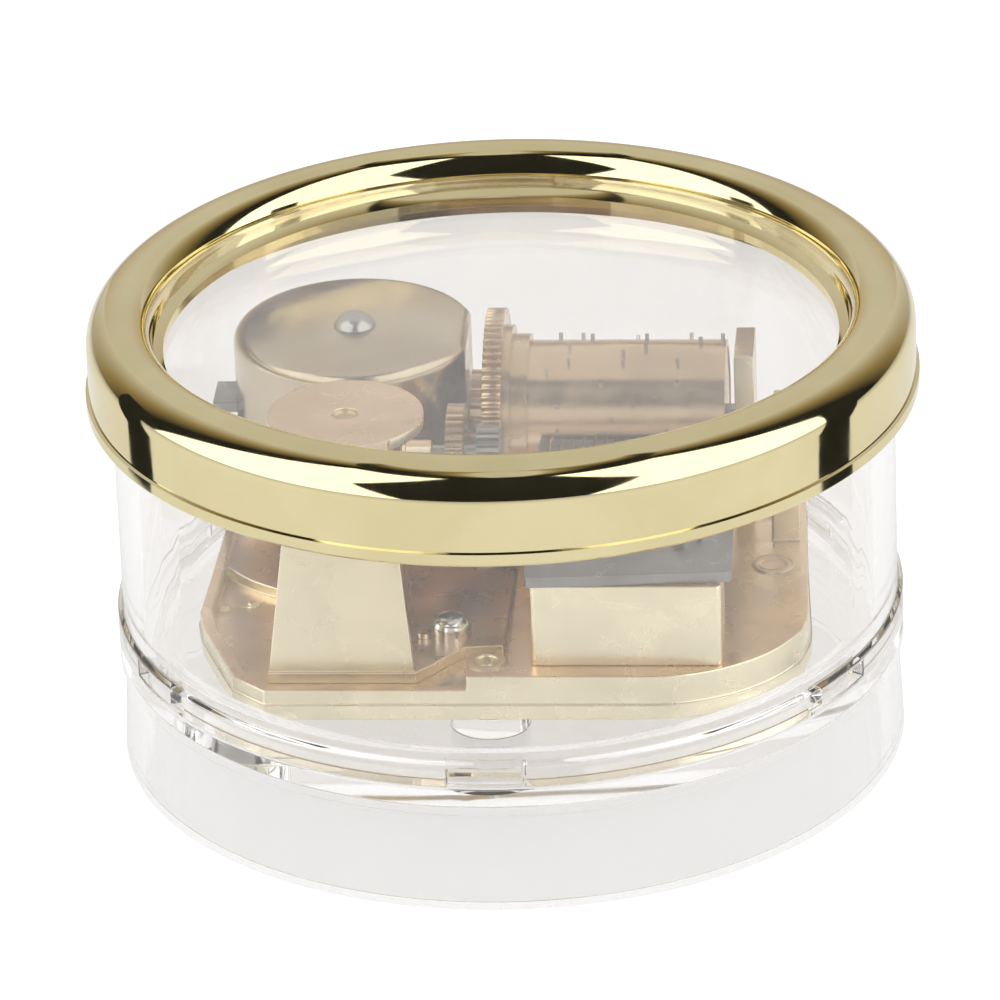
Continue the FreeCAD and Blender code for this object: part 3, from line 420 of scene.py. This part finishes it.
def make_camera():
    """A long lens that looks down at the part, level but for a slight roll."""
    back = Vector(
        (
            math.sin(CAMERA_AZIMUTH) * math.cos(CAMERA_ELEVATION),
            -math.cos(CAMERA_AZIMUTH) * math.cos(CAMERA_ELEVATION),
            math.sin(CAMERA_ELEVATION),
        )
    )
    level = Vector((0, 0, 1)).cross(back).normalized()
    rise = back.cross(level)
    right = level * math.cos(CAMERA_ROLL) - rise * math.sin(CAMERA_ROLL)
    top = level * math.sin(CAMERA_ROLL) + rise * math.cos(CAMERA_ROLL)
    camera = bpy.data.objects.new("camera", bpy.data.cameras.new("camera"))
    bpy.context.scene.collection.objects.link(camera)
    turn = Matrix((right, top, back)).transposed().to_4x4()
    camera.matrix_world = Matrix.Translation(CAMERA_TARGET + back * CAMERA_DISTANCE) @ turn
    camera.data.lens = CAMERA_LENS
    camera.data.sensor_width = CAMERA_SENSOR
    camera.data.clip_start = 0.01
    camera.data.clip_end = 20.0
    bpy.context.scene.camera = camera


def plain(name, colour, rough=0.8, glow=0.0):
    """A stage material of one colour, which also glows if glow is above zero."""
    material, tree, shader = new_material(name)
    shader.inputs["Base Color"].default_value = (*colour, 1.0)
    shader.inputs["Roughness"].default_value = rough
    shader.inputs["Emission Color"].default_value = (*colour, 1.0)
    shader.inputs["Emission Strength"].default_value = glow
    return material


def by_path(tree, light, fade=None):
    """A value for rays off a surface, one for rays through plastic, one for the camera's own rays.

    light holds the three, and fade is a socket that scales the first two."""
    reflected, through, seen = light
    path = add(tree, "ShaderNodeLightPath")
    passed = span(tree, path.outputs["Transmission Depth"], reflected, through, 0.0, 1.0)
    if fade is not None:
        scaled = add(tree, "ShaderNodeMath", operation="MULTIPLY")
        tree.links.new(passed, scaled.inputs[0])
        tree.links.new(fade, scaled.inputs[1])
        passed = scaled.outputs[0]
    straight = add(tree, "ShaderNodeMix", data_type="FLOAT")
    tree.links.new(path.outputs["Is Camera Ray"], straight.inputs["Factor"])
    tree.links.new(passed, straight.inputs["A"])
    straight.inputs["B"].default_value = seen
    return straight.outputs["Result"]


def card(name, light):
    """Studio card with one brightness as seen in bare surfaces and one from inside the clear case."""
    material = plain(name, DARK_CLOTH)
    tree = material.node_tree
    shader = tree.nodes["Principled BSDF"]
    shader.inputs["Emission Color"].default_value = (*WHITE_LIGHT, 1.0)
    tree.links.new(by_path(tree, light), shader.inputs["Emission Strength"])
    return material


def soft_card(name):
    """Studio card that is dark along one edge and fades through brown to the room's light."""
    material = plain(name, DARK_CLOTH, glow=1.0)
    tree = material.node_tree
    shader = tree.nodes["Principled BSDF"]
    fade = add(tree, "ShaderNodeAttribute", attribute_name="fade")
    light = tuple(SKY_LIGHT[0] * c for c in WHITE_LIGHT)
    colour = shade(
        tree, fade.outputs["Fac"], (0.22, (0.0, 0.0, 0.0)), (0.55, SHADE_BROWN), (1.0, light)
    )
    tree.links.new(colour, shader.inputs["Emission Color"])
    return material


def dome_patch(
    name, place_on_dome, material, only_reflected, taper=0.0, pinch=0.458, lean=0, sideways=False
):
    """A curved studio card around the part, with its sides, heights and radius in place_on_dome.

    taper is the share of its width over which each end narrows to a point, and pinch is the share
    of its height where that point lies. lean turns its upper edge sideways by that many degrees.
    The attribute fade runs from its lower to its upper edge, or from side to side if sideways."""
    sides, heights, radius = place_on_dome
    columns, rows = 32, 16
    middle = heights[0] + (heights[1] - heights[0]) * pinch
    corners = []
    fades = []
    for row in range(rows + 1):
        level = heights[0] + (heights[1] - heights[0]) * row / rows
        for column in range(columns + 1):
            edge = min(column, columns - column) / columns
            narrow = min(1.0, edge / taper) if taper else 1.0
            height = math.radians(middle + (level - middle) * narrow)
            fades.append(column / columns if sideways else row / rows)
            turn = sides[0] + (sides[1] - sides[0]) * column / columns + lean * row / rows
            side = math.radians(turn) + CAMERA_AZIMUTH
            corners.append(
                (
                    radius * math.sin(side) * math.cos(height),
                    -radius * math.cos(side) * math.cos(height),
                    STUDIO_HEIGHT + radius * math.sin(height),
                )
            )
    faces = []
    for row in range(rows):
        for column in range(columns):
            first = row * (columns + 1) + column
            faces.append((first, first + 1, first + columns + 2, first + columns + 1))
    data = bpy.data.meshes.new(name)
    data.from_pydata(corners, [], faces)
    data.attributes.new("fade", "FLOAT", "POINT").data.foreach_set("value", fades)
    data.materials.append(material)
    obj = bpy.data.objects.new(name, data)
    bpy.context.scene.collection.objects.link(obj)
    obj.visible_camera = False
    obj.visible_shadow = False
    obj.visible_transmission = not only_reflected
    obj.visible_diffuse = not only_reflected
    return obj


def make_world():
    """Sky light all round, warm at the horizon and white above."""
    world = bpy.data.worlds.new("studio")
    bpy.context.scene.world = world
    world.use_nodes = True
    sky = world.node_tree.nodes["Background"]
    tree = world.node_tree
    direction = add(tree, "ShaderNodeTexCoord")
    split = add(tree, "ShaderNodeSeparateXYZ")
    tree.links.new(direction.outputs["Generated"], split.inputs["Vector"])
    height = shade(tree, split.outputs["Z"], (0.0, WARM_HORIZON), (WHITE_FROM, WHITE_LIGHT))
    tree.links.new(height, sky.inputs["Color"])
    tree.links.new(by_path(tree, SKY_LIGHT), sky.inputs["Strength"])


def set_light_paths():
    """Light bounces many times inside the clear plastic, so the limits are raised."""
    scene = bpy.context.scene
    scene.view_settings.view_transform = "Standard"
    scene.cycles.max_bounces = BOUNCES
    scene.cycles.glossy_bounces = CLEAR_BOUNCES
    scene.cycles.transmission_bounces = CLEAR_BOUNCES
    scene.cycles.diffuse_bounces = DIFFUSE_BOUNCES


def make_floor():
    """A pale floor that glows evenly near the part and less far from it."""
    paper = plain("paper", PAPER_GREY)
    tree = paper.node_tree
    shader = tree.nodes["Principled BSDF"]
    away = add(tree, "ShaderNodeVectorMath", operation="LENGTH")
    tree.links.new(place(tree), away.inputs[0])
    fade = span(tree, away.outputs["Value"], 1.0, FLOOR_FAR_LIGHT, *FLOOR_FADE)
    shader.inputs["Emission Color"].default_value = (1.0, 1.0, 1.0, 1.0)
    tree.links.new(by_path(tree, FLOOR_LIGHT, fade), shader.inputs["Emission Strength"])
    half = FLOOR_SIZE / 2
    corners = [(-half, -half, 0), (half, -half, 0), (half, half, 0), (-half, half, 0)]
    data = bpy.data.meshes.new("floor")
    data.from_pydata(corners, [], [(0, 1, 2, 3)])
    data.materials.append(paper)
    floor = bpy.data.objects.new("floor", data)
    bpy.context.scene.collection.objects.link(floor)


def make_stage():
    """The floor, the studio cards that the part mirrors, and the sky."""
    make_floor()
    dark = card("dark_card", DARK_LIGHT)
    stand = card("stand", STAND_LIGHT)
    soft = soft_card("soft_card")
    overhead = card("overhead_card", OVERHEAD_LIGHT)
    lamp = plain("lamp", LAMP_WHITE, glow=LAMP_GLOW)
    dome_patch("room_behind_camera", ROOM_BEHIND_CAMERA, dark, True, taper=0.22)
    dome_patch("left_lamp", LEFT_LAMP, lamp, False)
    dome_patch("right_lamp", RIGHT_LAMP, lamp, False)
    dome_patch("lamp_frame", LAMP_FRAME, dark, True)
    dome_patch("left_gap", LEFT_GAP, soft, True, lean=GAP_LEAN, sideways=True)
    dome_patch("right_gap", RIGHT_GAP, soft, True, lean=-GAP_LEAN, sideways=True)
    dome_patch("left_shade", LEFT_SHADE, soft, True, taper=0.5, pinch=0.0)
    dome_patch("right_shade", RIGHT_SHADE, soft, True, taper=0.5, pinch=0.0)
    dome_patch("left_stand", LEFT_STAND, stand, True)
    dome_patch("right_stand", RIGHT_STAND, stand, True)
    dome_patch("overhead", OVERHEAD, overhead, False)
    make_world()


# ---------------------------------------------------------------- the part


def main():
    """Gives every CAD node its look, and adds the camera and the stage."""
    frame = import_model()
    materials = build_materials()
    slots = {part["node"]: part["material_slot"] for part in frame["record"]["subparts"]}
    for node, obj in frame["nodes"].items():
        obj.data.materials.clear()
        obj.data.materials.append(materials[slots[node]])
    ring = turned(frame, "gold_ring", RING_STEPS)
    ring.data.materials.append(materials[slots["gold_ring"]])
    for node, width in SOFT_EDGES.items():
        obj = softened(frame, node, width)
        obj.data.materials.clear()
        obj.data.materials.append(materials[slots[node]])
    make_camera()
    make_stage()
    set_light_paths()
    bpy.context.view_layer.update()


main()
